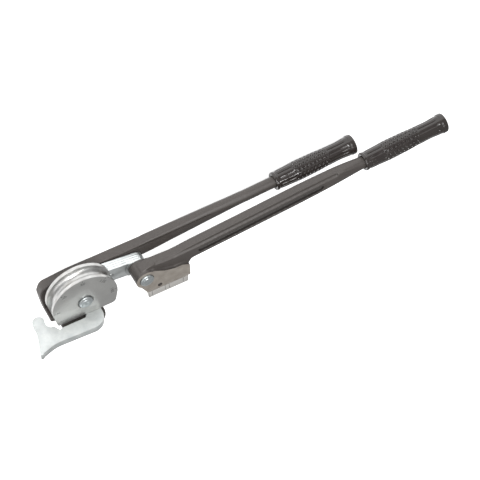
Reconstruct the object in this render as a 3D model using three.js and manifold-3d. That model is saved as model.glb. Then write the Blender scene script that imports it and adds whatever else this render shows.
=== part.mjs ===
// Lever-type tube bender: a grooved former on one long handle, a second long handle with a slide block,
// a laminated link that joins the two pivots, and a flat hook that holds the tube against the former.
//
// Millimetres. While the tool is built, the former's pivot is the origin at the former's front face,
// +X runs along the folded handles, +Y across them and +Z is the pivot axis, away from the back plate.
// At the end the whole tool is shifted so that the origin is the bottom centre of its bounding box.

import * as THREE from "three";
import { mergeVertices } from "three/addons/utils/BufferGeometryUtils.js";
import Module from "manifold-3d";

const GAP = 0.3;
const ARC_STEPS = 6;
const ROUND_STEPS = 28;
const WELD = 0.01;

const TUBE_R = 6.35;
const BEND_R = 38;
const GROOVE_R = TUBE_R + 0.2;

const RIM_R = 37.8;
const FORMER_DEPTH = 20.6;
const GROOVE_Z = -FORMER_DEPTH / 2;
const CHORD_Y = -22.4;

const PIN_R = 4.5;
const BORE_R = PIN_R + GAP;
const PIN_HEAD_R = 8;
const PIN_HEAD_RISE = 3;
const PIN_CAP_R = 4.6;
const PIN_CAP_RISE = 0.7;
const FORMER_SINK = 2.2;
const BOSS_SINK = 1.2;

const HANDLE_PIVOT = [72, -8.2];
const LINK_LENGTH = Math.hypot(...HANDLE_PIVOT);
const LINK_ANGLE = Math.atan2(HANDLE_PIVOT[1], HANDLE_PIVOT[0]);
const LINK_FRONT_Z = -21;
const LINK_HALF_HEIGHT = 10.1;
const LEAF_COUNT = 4;
const LEAF_DEPTH = 2.75;
const LEAF_PITCH = LEAF_DEPTH + GAP;
const LINK_BACK_Z = LINK_FRONT_Z - LEAF_COUNT * LEAF_PITCH + GAP;
const BUSH_R = 6.5;
const PEENED_HEAD_R = 7;

const PLATE_FRONT_Z = -34.5;
const PLATE_DEPTH = 12.5;
const PLATE_BACK_Z = PLATE_FRONT_Z - PLATE_DEPTH;
const PLATE_TOP_Y = 6.9;
const PLATE_EDGE = 1.6;
const RING_R = 5.6;

const HOOK_TOP_Y = CHORD_Y - GAP;
const HOOK_THICKNESS = 8.3;
const HOOK_BOTTOM_Y = HOOK_TOP_Y - HOOK_THICKNESS;
const HOOK_PIVOT = [7, -8];
const HOOK_SCREW_R = 4;
const WASHER_DEPTH = 0.7;
const LEDGE_TOP_Y = HOOK_BOTTOM_Y - WASHER_DEPTH - 2 * GAP;
const LEDGE_BOTTOM_Y = -37.5;

const SHOE_FRONT_Z = 0.8;
const SHOE_BACK_Z = -19.8;
const SHOE_BOTTOM_Y = -31.5;
const BLOCK_BOTTOM_Y = HANDLE_PIVOT[1] - (LINK_LENGTH - RIM_R - GAP);
const BLOCK_X = [72.6, 122];
const BLOCK_PIN = [87, -26.4];
const BLOCK_PIN_R = 2.4;
const TONGUE_X = [79, 116];
const TONGUE_TOP_Y = -21.5;
const TONGUE_HALF_DEPTH = 4;

// Sections of a handle's arm: [x, y, z, half height, half depth, corner radius].
const FORMER_ARM = [
  [84, -1.9, -40.9, 9.4, 6.1, 1.2],
  [90, -1.2, -40.7, 9.6, 6.2, 1.3],
  [104, 0.8, -40.0, 9.3, 6.25, 2],
  [120, 3.1, -39.3, 9.0, 6.3, 3],
  [135, 5.1, -38.6, 8.8, 6.35, 3.9],
  [150, 7.1, -37.9, 8.6, 6.4, 4.8],
  [165, 9.2, -37.2, 8.2, 6.5, 5.6],
  [180, 11.2, -36.5, 7.84, 6.6, 6.2],
  [194, 13.1, -35.8, 7.2, 6.65, 6.5],
  [207, 14.9, -35.2, 6.75, 6.7, 6.65],
  [216, 15.7, -34.8, 6.7, 6.7, 6.69],
];
const FORMER_SHANK_Z = -34.8;
const FORMER_SHANK_R = 6.7;
const FORMER_SHANK_START = [212, 15.4];
const FORMER_SHANK_ANGLE = 4.2;
const FORMER_GRIP_START = 38.4;
const FORMER_CREASE = [[34, 3.4], [100, 6], [150, 11.6], [172, 13.6]];
const CREASE_HEIGHT = 1.6;
const CREASE_DEPTH = 1.1;

const BENDING_ARM_Z = -9;
const BENDING_ARM = [
  [120, -0.9, BENDING_ARM_Z, 9.7, 6.3, 1.2],
  [133, 0.6, BENDING_ARM_Z, 9.85, 6.3, 1.2],
  [190, 5.9, BENDING_ARM_Z, 10.0, 6.3, 1.2],
  [228, 9.7, BENDING_ARM_Z, 10.1, 6.3, 1.2],
  [267, 13.55, BENDING_ARM_Z, 10.15, 6.3, 1.2],
  [290, 15.7, BENDING_ARM_Z, 9.8, 6.3, 1.6],
  [312, 17.9, BENDING_ARM_Z, 9.3, 6.4, 2.6],
  [324, 19.0, BENDING_ARM_Z, 8.8, 6.5, 3.5],
  [336, 19.9, BENDING_ARM_Z, 8.1, 6.7, 4.9],
  [345, 20.4, BENDING_ARM_Z, 7.5, 6.9, 6.2],
  [353, 20.85, BENDING_ARM_Z, 7.1, 7.1, 7.09],
];
const ARM_FRONT_Z = BENDING_ARM_Z + 6.3;
const ARM_BACK_Z = BENDING_ARM_Z - 6.3;
const POCKET_DEPTH = 4.2;
const POCKET_HALF_WIDTH = 3.35;
const POCKET_LINE = [[141.5, -0.9], [190, 3.65], [228, 7.4], [267, 11.25], [294.5, 13.8]];
const STRIP_BOTTOM = [[84, 5.4], [108, 4.0], [133, 5.1], [190, 10.4], [267, 18.1], [316, 22.6]];
const STRIP_RECESS = 2.4;
const BENDING_SHANK_R = 7.1;
const BENDING_SHANK_START = [300, 16.4];
const BENDING_SHANK_ANGLE = 4.8;
const BENDING_GRIP_START = 52.5;

const FORMER_GRIP_LENGTH = 104.5;
const BENDING_GRIP_LENGTH = 110;
const GRIP_END = 8;

const SCREW_R = 2.5;
const SCREW_HEAD_R = 4.25;
const SCREW_HEAD_DEPTH = 5;
const SCREW_TIP_Z = -14;
const SCREW_Y = -17.6;
const FORMER_SCREWS = [-18, 3];
const DOWEL_X = -7.5;

const COLOURS = {
  coat: [0x57524e, 0.75, 0.2],
  machined: [0x9a968f, 0.55, 0.7],
  alloy: [0xa6a6a4, 0.4, 0.8],
  zinc: [0xc4cacb, 0.4, 0.8],
  steel: [0xb4b2ac, 0.45, 0.8],
  bronze: [0xb08a50, 0.5, 0.7],
  grip: [0x24211f, 0.4, 0.0],
};

const wasm = await Module();
wasm.setup();

const tool = new THREE.Group();

// A closed triangle mesh as a manifold solid, turned the right way out if its winding is reversed.
function solid(geometry) {
  const bare = geometry.clone();
  bare.deleteAttribute("normal");
  bare.deleteAttribute("uv");
  const merged = mergeVertices(bare, 1e-4);
  const position = merged.attributes.position;
  const index = Array.from(merged.index.array);
  const triangles = [];
  for (let i = 0; i < index.length; i += 3) {
    const [a, b, c] = index.slice(i, i + 3);
    if (a !== b && b !== c && c !== a) {
      triangles.push(a, b, c);
    }
  }
  if (signedVolume(position, triangles) < 0) {
    triangles.reverse();
  }
  const mesh = new wasm.Mesh({
    numProp: 3,
    vertProperties: Float32Array.from(position.array),
    triVerts: Uint32Array.from(triangles),
  });
  return new wasm.Manifold(mesh);
}

function signedVolume(position, triangles) {
  const a = new THREE.Vector3();
  const b = new THREE.Vector3();
  const c = new THREE.Vector3();
  let volume = 0;
  for (let i = 0; i < triangles.length; i += 3) {
    a.fromBufferAttribute(position, triangles[i]);
    b.fromBufferAttribute(position, triangles[i + 1]);
    c.fromBufferAttribute(position, triangles[i + 2]);
    volume += a.dot(b.cross(c)) / 6;
  }
  return volume;
}

// Slivers shorter than WELD are dropped, then the solid becomes a geometry again.
function toGeometry(body) {
  const mesh = body.simplify(WELD).getMesh();
  const geometry = new THREE.BufferGeometry();
  geometry.setAttribute("position", new THREE.BufferAttribute(Float32Array.from(mesh.vertProperties), 3));
  geometry.setIndex(Array.from(mesh.triVerts));
  geometry.computeVertexNormals();
  return geometry;
}

function addPiece(name, body, finish) {
  const [color, roughness, metalness] = COLOURS[finish];
  const material = new THREE.MeshStandardMaterial({ color, roughness, metalness });
  const mesh = new THREE.Mesh(toGeometry(body), material);
  mesh.name = name;
  tool.add(mesh);
}

// Corners are [x, y, fillet radius]; each fillet is an arc of ARC_STEPS chords.
function filleted(corners) {
  const points = [];
  corners.forEach(([x, y, radius = 0], i) => {
    const corner = new THREE.Vector2(x, y);
    if (radius === 0) {
      points.push(corner);
      return;
    }
    const before = corners[(i + corners.length - 1) % corners.length];
    const after = corners[(i + 1) % corners.length];
    const toBefore = new THREE.Vector2(before[0] - x, before[1] - y).normalize();
    const toAfter = new THREE.Vector2(after[0] - x, after[1] - y).normalize();
    const half = Math.acos(THREE.MathUtils.clamp(toBefore.dot(toAfter), -1, 1)) / 2;
    const reach = radius / Math.tan(half);
    const bisector = toBefore.clone().add(toAfter).normalize();
    const centre = corner.clone().addScaledVector(bisector, radius / Math.sin(half));
    const from = corner.clone().addScaledVector(toBefore, reach).sub(centre).angle();
    const to = corner.clone().addScaledVector(toAfter, reach).sub(centre).angle();
    const turn = THREE.MathUtils.euclideanModulo(to - from + Math.PI, 2 * Math.PI) - Math.PI;
    for (let step = 0; step <= ARC_STEPS; step += 1) {
      const angle = from + (turn * step) / ARC_STEPS;
      points.push(new THREE.Vector2(Math.cos(angle), Math.sin(angle)).multiplyScalar(radius).add(centre));
    }
  });
  return points;
}

// An outline in X and Y, drawn out along Z.
function slab(points, zLow, zHigh) {
  const geometry = new THREE.ExtrudeGeometry(new THREE.Shape(points), {
    depth: zHigh - zLow,
    bevelEnabled: false,
  });
  return geometry.translate(0, 0, zLow);
}

// An outline in X and Z, drawn out along Y.
function layer(points, yLow, yHigh) {
  return slab(points, 0, yHigh - yLow).rotateX(Math.PI / 2).translate(0, yHigh, 0);
}

function box(xRange, yRange, zRange) {
  const size = [xRange, yRange, zRange].map(([low, high]) => high - low);
  const middle = [xRange, yRange, zRange].map(([low, high]) => (low + high) / 2);
  return new THREE.BoxGeometry(...size).translate(...middle);
}

// A profile of [radius, height] pairs turned about Z; it starts and ends on the axis.
function turned(profile, steps = ROUND_STEPS) {
  const points = profile.map(([radius, height]) => new THREE.Vector2(radius, height));
  return new THREE.LatheGeometry(points, steps).rotateX(Math.PI / 2);
}

function rod(radius, [x, y], zLow, zHigh, steps = ROUND_STEPS) {
  const profile = [[0, zLow], [radius, zLow], [radius, zHigh], [0, zHigh]];
  return turned(profile, steps).translate(x, y, 0);
}

// A rod whose axis runs along Y through the point (x, z).
function uprightRod(radius, [x, z], yLow, yHigh) {
  return rod(radius, [0, 0], -yHigh, -yLow).rotateX(Math.PI / 2).translate(x, 0, z);
}

// Turns a shape built along +Z so that it runs from a start point along a direction in the XY plane.
function alongHandle(geometry, [x, y], z, degrees) {
  return geometry
    .rotateY(Math.PI / 2)
    .rotateZ(THREE.MathUtils.degToRad(degrees))
    .translate(x, y, z);
}

function pointOnShank([x, y], degrees, distance) {
  const angle = THREE.MathUtils.degToRad(degrees);
  return [x + distance * Math.cos(angle), y + distance * Math.sin(angle)];
}

// A long round-ended pocket that follows a centre line of [x, y] points.
function pocketOutline(line, halfWidth) {
  const side = (sign) => line.map(([x, y]) => new THREE.Vector2(x, y + sign * halfWidth));
  const cap = ([x, y], from) => {
    const points = [];
    for (let step = 1; step < ARC_STEPS; step += 1) {
      const angle = from + (Math.PI * step) / ARC_STEPS;
      points.push(new THREE.Vector2(x + halfWidth * Math.cos(angle), y + halfWidth * Math.sin(angle)));
    }
    return points;
  };
  const last = line[line.length - 1];
  return [
    ...side(-1),
    ...cap(last, -Math.PI / 2),
    ...side(1).reverse(),
    ...cap(line[0], Math.PI / 2),
  ];
}

// A strip of even height that stands on a line of [x, y] points.
function band(line, height) {
  const lower = line.map(([x, y]) => new THREE.Vector2(x, y));
  const upper = line.map(([x, y]) => new THREE.Vector2(x, y + height)).reverse();
  return [...lower, ...upper];
}

function linkOutline(radiusAtEnds, halfHeight) {
  const end = (distance, from) => {
    const points = [];
    for (let step = 0; step <= 2 * ARC_STEPS; step += 1) {
      const angle = from + (Math.PI * step) / (2 * ARC_STEPS);
      points.push(new THREE.Vector2(distance + radiusAtEnds * Math.cos(angle), halfHeight * Math.sin(angle)));
    }
    return points;
  };
  return [...end(LINK_LENGTH, -Math.PI / 2), ...end(0, Math.PI / 2)];
}

// A closed bar through rounded-rectangle sections that lie across X.
function loft(sections) {
  const perCorner = 5;
  const ringSize = 4 * perCorner;
  const positions = [];
  for (const [x, y, z, halfHeight, halfDepth, radius] of sections) {
    for (let i = 0; i < ringSize; i += 1) {
      const corner = Math.floor(i / perCorner);
      const angle = (Math.PI / 2) * (corner + (i % perCorner) / (perCorner - 1));
      const side = (Math.PI / 2) * (corner + 0.5);
      positions.push(
        x,
        y + (halfHeight - radius) * Math.sign(Math.cos(side)) + radius * Math.cos(angle),
        z + (halfDepth - radius) * Math.sign(Math.sin(side)) + radius * Math.sin(angle));
    }
  }
  const triangles = [];
  for (let ring = 0; ring + 1 < sections.length; ring += 1) {
    for (let i = 0; i < ringSize; i += 1) {
      const here = ring * ringSize + i;
      const next = ring * ringSize + ((i + 1) % ringSize);
      triangles.push(here, next, here + ringSize);
      triangles.push(next, next + ringSize, here + ringSize);
    }
  }
  const last = (sections.length - 1) * ringSize;
  for (let i = 1; i + 1 < ringSize; i += 1) {
    triangles.push(0, i + 1, i);
    triangles.push(last, last + i, last + i + 1);
  }
  const geometry = new THREE.BufferGeometry();
  geometry.setAttribute("position", new THREE.BufferAttribute(Float32Array.from(positions), 3));
  geometry.setIndex(triangles);
  return geometry;
}

// A shank along +X under a grip, turned to a handle's angle.
function gripShank(radius, start, z, degrees, end) {
  return alongHandle(turned([[0, 0], [radius, 0], [radius, end], [0, end]]), start, z, degrees);
}

function formerHandleCasting() {
  const plate = slab(filleted([
    [-36.6, LEDGE_BOTTOM_Y, 2],
    [20, LEDGE_BOTTOM_Y, 3],
    [26, -18, 10],
    [48, -12.8, 20],
    [89, -10.8],
    [89, 7.9],
    [-2, PLATE_TOP_Y, 30],
    [-34, 3.5, 9],
    [-39.2, -8, 12],
  ]), PLATE_BACK_Z, PLATE_FRONT_Z);
  const pad = box([-30, 14], [CHORD_Y, -13.8], [PLATE_FRONT_Z - 1, -FORMER_DEPTH - GAP]);
  const ledge = layer(filleted([
    [-36.6, PLATE_BACK_Z, 0],
    [21, PLATE_BACK_Z, 0],
    [21, 8, 12],
    [-29.3, 8, 6],
    [-29.3, -17.4, 2],
    [-36.6, -19, 2],
  ]), LEDGE_BOTTOM_Y, LEDGE_TOP_Y);
  const shankEnd = FORMER_GRIP_START + FORMER_GRIP_LENGTH - GRIP_END - 2;
  const shank = gripShank(FORMER_SHANK_R, FORMER_SHANK_START, FORMER_SHANK_Z, FORMER_SHANK_ANGLE, shankEnd);
  const edge = box([-60, 88.5], [-PLATE_EDGE, PLATE_EDGE], [-PLATE_EDGE, PLATE_EDGE])
    .rotateX(Math.PI / 4)
    .rotateZ(0.012)
    .translate(0, PLATE_TOP_Y, PLATE_BACK_Z);
  const creaseFloor = loft(FORMER_ARM.map(([x, y, z, height, depth, radius]) => [
    x, y, z, height + 4, depth - CREASE_DEPTH, radius,
  ]));
  const armCrease = solid(slab(band(FORMER_CREASE, CREASE_HEIGHT), -40, -28)).subtract(solid(creaseFloor));
  const plateCrease = slab(band(FORMER_CREASE.slice(0, 2), CREASE_HEIGHT), PLATE_FRONT_Z - CREASE_DEPTH, -30);

  let body = solid(plate).add(solid(pad)).add(solid(ledge)).subtract(solid(edge));
  body = body.subtract(solid(plateCrease));
  body = body.add(solid(loft(FORMER_ARM)).subtract(armCrease)).add(solid(shank));
  body = body.subtract(solid(rod(BORE_R, [0, 0], PLATE_BACK_Z - 1, PLATE_FRONT_Z + 1)));
  body = body.subtract(solid(rod(RING_R + GAP, [0, 0], PLATE_BACK_Z - 1, PLATE_BACK_Z + 1.9)));
  body = body.subtract(solid(uprightRod(HOOK_SCREW_R + GAP, HOOK_PIVOT, LEDGE_BOTTOM_Y - 1, LEDGE_TOP_Y + 1)));
  body = body.subtract(solid(rod(SCREW_R + GAP, [DOWEL_X, SCREW_Y], PLATE_FRONT_Z - 6, -FORMER_DEPTH)));
  for (const x of FORMER_SCREWS) {
    const seat = PLATE_BACK_Z + SCREW_HEAD_DEPTH + 2 * GAP;
    body = body.subtract(solid(rod(SCREW_R + GAP, [x, SCREW_Y], PLATE_BACK_Z - 1, -FORMER_DEPTH)));
    body = body.subtract(solid(rod(SCREW_HEAD_R + GAP, [x, SCREW_Y], PLATE_BACK_Z - 1, seat)));
  }
  return body;
}

// The grooved half-moon that the tube is bent round.
function former() {
  const outline = [];
  const sideAngle = 8;
  for (let degrees = -sideAngle; degrees <= 180 + sideAngle; degrees += 4) {
    const angle = THREE.MathUtils.degToRad(degrees);
    outline.push([RIM_R * Math.cos(angle), RIM_R * Math.sin(angle), 0]);
  }
  outline.push([-34.4, CHORD_Y, 3], [33.6, CHORD_Y, 6]);
  const disc = solid(slab(filleted(outline), -FORMER_DEPTH, 0));
  const groove = [[BEND_R + 12, -GROOVE_R], [BEND_R, -GROOVE_R]];
  for (let degrees = -75; degrees <= 75; degrees += 15) {
    const angle = THREE.MathUtils.degToRad(degrees);
    groove.push([BEND_R - GROOVE_R * Math.cos(angle), GROOVE_R * Math.sin(angle)]);
  }
  groove.push([BEND_R, GROOVE_R], [BEND_R + 12, GROOVE_R], [BEND_R + 12, -GROOVE_R]);
  const ring = turned(groove, 60).translate(0, 0, GROOVE_Z);

  let body = disc.subtract(solid(ring));
  body = body.subtract(solid(rod(BORE_R, [0, 0], -FORMER_DEPTH - 1, 1)));
  body = body.subtract(solid(rod(PIN_HEAD_R + 1.3, [0, 0], -FORMER_SINK - GAP, 1)));
  body = body.subtract(solid(uprightRod(HOOK_SCREW_R + GAP, HOOK_PIVOT, CHORD_Y - 1, CHORD_Y + 8.7)));
  for (const x of [...FORMER_SCREWS, DOWEL_X]) {
    body = body.subtract(solid(rod(SCREW_R + GAP, [x, SCREW_Y], -FORMER_DEPTH - 1, SCREW_TIP_Z + GAP)));
  }
  return body;
}

// A pivot pin with a low stepped head; the tail is a list of [radius, height] points below the shank.
function pivotPin(faceZ, sink, tail) {
  const top = faceZ + PIN_HEAD_RISE;
  return turned([
    ...tail,
    [PIN_R, faceZ - sink],
    [PIN_HEAD_R, faceZ - sink],
    [PIN_HEAD_R, top - 1.6],
    [PIN_HEAD_R - 0.7, top - 0.9],
    [PIN_CAP_R + 0.4, top - PIN_CAP_RISE],
    [PIN_CAP_R, top],
    [0, top],
  ]);
}

function washer(outer, inner, [x, y], zLow, zHigh) {
  return solid(rod(outer, [x, y], zLow, zHigh)).subtract(solid(rod(inner, [x, y], zLow - 1, zHigh + 1)));
}

// One leaf of the laminated link, with a hole of its own size at the second pivot.
function linkLeaf(layerIndex) {
  const zHigh = LINK_FRONT_Z - layerIndex * LEAF_PITCH;
  const zLow = zHigh - LEAF_DEPTH;
  const isLast = layerIndex === LEAF_COUNT - 1;
  const farHole = isLast ? PEENED_HEAD_R + GAP : BUSH_R + GAP;
  const outline = slab(linkOutline(LINK_HALF_HEIGHT, LINK_HALF_HEIGHT), zLow, zHigh).rotateZ(LINK_ANGLE);
  let leaf = solid(outline);
  leaf = leaf.subtract(solid(rod(BUSH_R + GAP, [0, 0], zLow - 1, zHigh + 1)));
  leaf = leaf.subtract(solid(rod(farHole, HANDLE_PIVOT, zLow - 1, zHigh + 1)));
  for (const centre of rivetCentres()) {
    leaf = leaf.subtract(solid(rod(SCREW_R + GAP, centre, zLow - 1, zHigh + 1, 16)));
  }
  return leaf;
}

function rivetCentres() {
  return [0.3, 0.55].map((share) => HANDLE_PIVOT.map((value) => value * share));
}

function bendingHandleCasting() {
  const boss = rod(12.2, HANDLE_PIVOT, SHOE_BACK_Z, SHOE_FRONT_Z, 40);
  const shoe = slab(filleted([
    [72, 2.5],
    [60.4, -12],
    [64.2, -17, 4],
    [71.8, SHOE_BOTTOM_Y],
    [124.7, SHOE_BOTTOM_Y],
    [124.7, -13.4, 1],
    [116, -8.8, 3],
    [106, -8.6, 3],
    [94, -5.2, 4],
    [82, 1.8],
  ]), SHOE_BACK_Z, SHOE_FRONT_Z);
  const head = slab(filleted([
    [63, -4],
    [68, 4.5, 3],
    [80, 8.2, 6],
    [106, 7.0, 20],
    [133, 9.5],
    [133, -8.3],
    [128.5, -10, 5],
    [124.7, -16, 4],
    [124.7, -30],
    [76, -28],
  ]), ARM_BACK_Z, ARM_FRONT_Z);
  const strip = slab(band(STRIP_BOTTOM, 12), ARM_FRONT_Z - STRIP_RECESS, ARM_FRONT_Z + 1);
  const pocket = pocketOutline(POCKET_LINE, POCKET_HALF_WIDTH);
  const frontPocket = slab(pocket, ARM_FRONT_Z - POCKET_DEPTH, ARM_FRONT_Z + 2);
  const backPocket = slab(pocket, ARM_BACK_Z - 2, ARM_BACK_Z + POCKET_DEPTH);
  const shankEnd = BENDING_GRIP_START + BENDING_GRIP_LENGTH - GRIP_END - 2;
  const shank = gripShank(BENDING_SHANK_R, BENDING_SHANK_START, BENDING_ARM_Z, BENDING_SHANK_ANGLE, shankEnd);
  const headSeat = SHOE_FRONT_Z - BOSS_SINK - GAP;

  let body = solid(head).add(solid(loft(BENDING_ARM))).subtract(solid(strip));
  body = body.add(solid(boss)).add(solid(shoe)).add(solid(shank));
  body = body.subtract(solid(frontPocket)).subtract(solid(backPocket));
  body = body.subtract(solid(rod(BORE_R, HANDLE_PIVOT, SHOE_BACK_Z - 1, SHOE_FRONT_Z + 1)));
  body = body.subtract(solid(rod(PIN_HEAD_R + 0.6, HANDLE_PIVOT, headSeat, SHOE_FRONT_Z + 1)));
  body = body.subtract(solid(rod(BLOCK_PIN_R + GAP, BLOCK_PIN, SHOE_BACK_Z - 1, SHOE_FRONT_Z + 1)));
  body = body.subtract(solid(box(
    [TONGUE_X[0] - GAP, TONGUE_X[1] + GAP],
    [SHOE_BOTTOM_Y - 1, TONGUE_TOP_Y + GAP],
    [GROOVE_Z - TONGUE_HALF_DEPTH - GAP, GROOVE_Z + TONGUE_HALF_DEPTH + GAP])));
  return body;
}

// The steel block that wipes the tube round the former: a groove below and a pinned tongue above.
function slideBlock() {
  const bar = box(BLOCK_X, [BLOCK_BOTTOM_Y, SHOE_BOTTOM_Y - GAP], [SHOE_BACK_Z, SHOE_FRONT_Z - 0.3]);
  const tongue = box(TONGUE_X, [SHOE_BOTTOM_Y - 1, TONGUE_TOP_Y],
    [GROOVE_Z - TONGUE_HALF_DEPTH, GROOVE_Z + TONGUE_HALF_DEPTH]);
  const groove = alongHandle(rod(GROOVE_R, [0, 0], 0, 60), [BLOCK_X[0] - 5, BLOCK_BOTTOM_Y], GROOVE_Z, 0);
  let body = solid(bar).add(solid(tongue)).subtract(solid(groove));
  body = body.subtract(solid(rod(BLOCK_PIN_R + GAP, BLOCK_PIN, SHOE_BACK_Z - 1, SHOE_FRONT_Z + 1)));
  return body;
}

// The flat hook: an eye under the former, a bar in front of it, and a notch that holds the tube.
function hook() {
  const outline = filleted([
    [15.7, -16.8, 8.5],
    [15.7, 20.9, 16.2],
    [-46, 18.5, 40],
    [-62, 23.6, 3],
    [-62.5, 24.9, 0.5],
    [-66.3, 24.9, 0.8],
    [-60.6, 6, 30],
    [-57.4, -8, 20],
    [-58.2, -22.4, 6.6],
    [-43.3, -22.2, 6.2],
    [-45.6, -11, 3],
    [-45.5, -3.2, 6.5],
    [-38.8, -2.6, 3],
    [-34.6, 4.9, 1.5],
    [-31.6, 3.5, 1.5],
    [-1.7, 3.5, 4],
    [-1.7, -16.8, 8.5],
  ]);
  const plate = solid(layer(outline, HOOK_BOTTOM_Y, HOOK_TOP_Y));
  return plate.subtract(solid(uprightRod(HOOK_SCREW_R + GAP, HOOK_PIVOT, HOOK_BOTTOM_Y - 1, HOOK_TOP_Y + 1)));
}

// A headed screw along Y that carries the hook: it passes the ledge and hook and ends inside the former.
function hookScrew() {
  const headTop = LEDGE_BOTTOM_Y - GAP;
  const shank = uprightRod(HOOK_SCREW_R, HOOK_PIVOT, headTop - 1, CHORD_Y + 8.4);
  const head = uprightRod(7, HOOK_PIVOT, headTop - 3.6, headTop);
  return solid(shank).add(solid(head));
}

// A moulded sleeve with a collar at its open mouth and a flange at its closed end, built along +Z.
function grip(shankRadius, length) {
  const swell = [[15, 10.9], [34, 11.6], [53, 11.3], [73, 10.5], [88, 10.3], [103, 11.2]];
  return turned([
    [0, length - GRIP_END],
    [shankRadius + GAP, length - GRIP_END],
    [shankRadius + GAP, 0],
    [10.4, 0],
    [10.9, 0.6],
    [10.9, 3.2],
    [10.2, 4],
    ...swell.map(([distance, radius]) => [radius, (distance * length) / BENDING_GRIP_LENGTH]),
    [11.9, length - 6],
    [11.9, length - 2.5],
    [11.2, length - 0.8],
    [7, length],
    [0, length],
  ], 32);
}

function screw(x) {
  const seat = PLATE_BACK_Z + SCREW_HEAD_DEPTH + GAP;
  return turned([
    [0, PLATE_BACK_Z + GAP],
    [SCREW_HEAD_R, PLATE_BACK_Z + GAP],
    [SCREW_HEAD_R, seat],
    [SCREW_R, seat],
    [SCREW_R, SCREW_TIP_Z],
    [0, SCREW_TIP_Z],
  ], 20).translate(x, SCREW_Y, 0);
}

function addFormerHandle() {
  addPiece("former_handle_casting", formerHandleCasting(), "coat");
  addPiece("former", former(), "alloy");
  const gripStart = pointOnShank(FORMER_SHANK_START, FORMER_SHANK_ANGLE, FORMER_GRIP_START);
  const sleeve = grip(FORMER_SHANK_R, FORMER_GRIP_LENGTH);
  addPiece("former_handle_grip", solid(alongHandle(sleeve, gripStart, FORMER_SHANK_Z, FORMER_SHANK_ANGLE)), "grip");
  const pinEnd = PLATE_BACK_Z + 0.2;
  const ringSeat = PLATE_BACK_Z + 1.9;
  const tail = [[0, pinEnd], [3.6, pinEnd], [3.6, ringSeat], [PIN_R, ringSeat]];
  addPiece("main_pivot_pin", solid(pivotPin(0, FORMER_SINK, tail)), "zinc");
  addPiece("main_retaining_ring", washer(RING_R, 3.9, [0, 0], PLATE_BACK_Z + 0.4, PLATE_BACK_Z + 1.6), "steel");
  addPiece("main_thrust_washer", washer(10, BORE_R, [0, 0], PLATE_FRONT_Z + GAP, LINK_BACK_Z - GAP), "bronze");
  FORMER_SCREWS.forEach((x, i) => addPiece(`former_screw_${i + 1}`, solid(screw(x)), "steel"));
  const dowel = rod(SCREW_R, [DOWEL_X, SCREW_Y], PLATE_FRONT_Z - 5.7, SCREW_TIP_Z, 20);
  addPiece("former_dowel", solid(dowel), "steel");
  addPiece("hook_pivot_screw", hookScrew(), "zinc");
  const ringTop = HOOK_BOTTOM_Y - GAP;
  const ring = solid(uprightRod(8, HOOK_PIVOT, ringTop - WASHER_DEPTH, ringTop));
  const ringHole = solid(uprightRod(HOOK_SCREW_R + GAP, HOOK_PIVOT, ringTop - 2, ringTop + 1));
  addPiece("hook_friction_washer", ring.subtract(ringHole), "steel");
}

function addLink() {
  for (let i = 0; i < LEAF_COUNT; i += 1) {
    addPiece(`link_leaf_${i + 1}`, linkLeaf(i), "zinc");
  }
  rivetCentres().forEach((centre, i) => {
    addPiece(`link_rivet_${i + 1}`, solid(rod(SCREW_R, centre, LINK_BACK_Z, LINK_FRONT_Z, 16)), "zinc");
  });
  const thirdLeafBack = LINK_BACK_Z + LEAF_PITCH;
  addPiece("link_bush_main", washer(BUSH_R, BORE_R, [0, 0], LINK_BACK_Z, LINK_FRONT_Z), "bronze");
  addPiece("link_bush_handle", washer(BUSH_R, BORE_R, HANDLE_PIVOT, thirdLeafBack, LINK_FRONT_Z), "bronze");
}

function addBendingHandle() {
  addPiece("bending_handle_casting", bendingHandleCasting(), "coat");
  addPiece("slide_block", slideBlock(), "machined");
  const crossPin = rod(BLOCK_PIN_R, BLOCK_PIN, SHOE_BACK_Z + 0.5, SHOE_FRONT_Z - 2.5, 16);
  addPiece("slide_block_pin", solid(crossPin), "steel");
  const flangeTop = LINK_BACK_Z + LEAF_DEPTH;
  const pinEnd = LINK_BACK_Z + 0.2;
  const tail = [[0, pinEnd], [PEENED_HEAD_R, pinEnd], [PEENED_HEAD_R, flangeTop], [PIN_R, flangeTop]];
  const pin = pivotPin(SHOE_FRONT_Z, BOSS_SINK, tail).translate(...HANDLE_PIVOT, 0);
  addPiece("handle_pivot_pin", solid(pin), "zinc");
  addPiece("handle_thrust_washer", washer(15.5, BORE_R, HANDLE_PIVOT, LINK_FRONT_Z + GAP, SHOE_BACK_Z - GAP)
    .intersect(solid(slab(linkOutline(15.5, LINK_HALF_HEIGHT), -30, 0).rotateZ(LINK_ANGLE))), "zinc");
  const gripStart = pointOnShank(BENDING_SHANK_START, BENDING_SHANK_ANGLE, BENDING_GRIP_START);
  const sleeve = grip(BENDING_SHANK_R, BENDING_GRIP_LENGTH);
  addPiece("bending_handle_grip", solid(alongHandle(sleeve, gripStart, BENDING_ARM_Z, BENDING_SHANK_ANGLE)), "grip");
}

addFormerHandle();
addLink();
addBendingHandle();
addPiece("hook", hook(), "zinc");

// The row's origin is the middle of the bounding box in X and Y, at its lowest Z.
const bounds = new THREE.Box3().setFromObject(tool);
const middle = bounds.getCenter(new THREE.Vector3());
tool.position.set(-middle.x, -middle.y, -bounds.min.z);

const group = new THREE.Group();
group.add(tool);

export default group;
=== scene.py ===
"""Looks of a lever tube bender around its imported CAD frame.

Shapes are written in millimetres in the tool's own frame: the former's pivot is the origin at the former's
marked face, X runs along the folded handles, Y across them and Z along the pivot pins.
"""

import math

import bmesh
import bpy
from mathutils import Matrix, Vector


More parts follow.
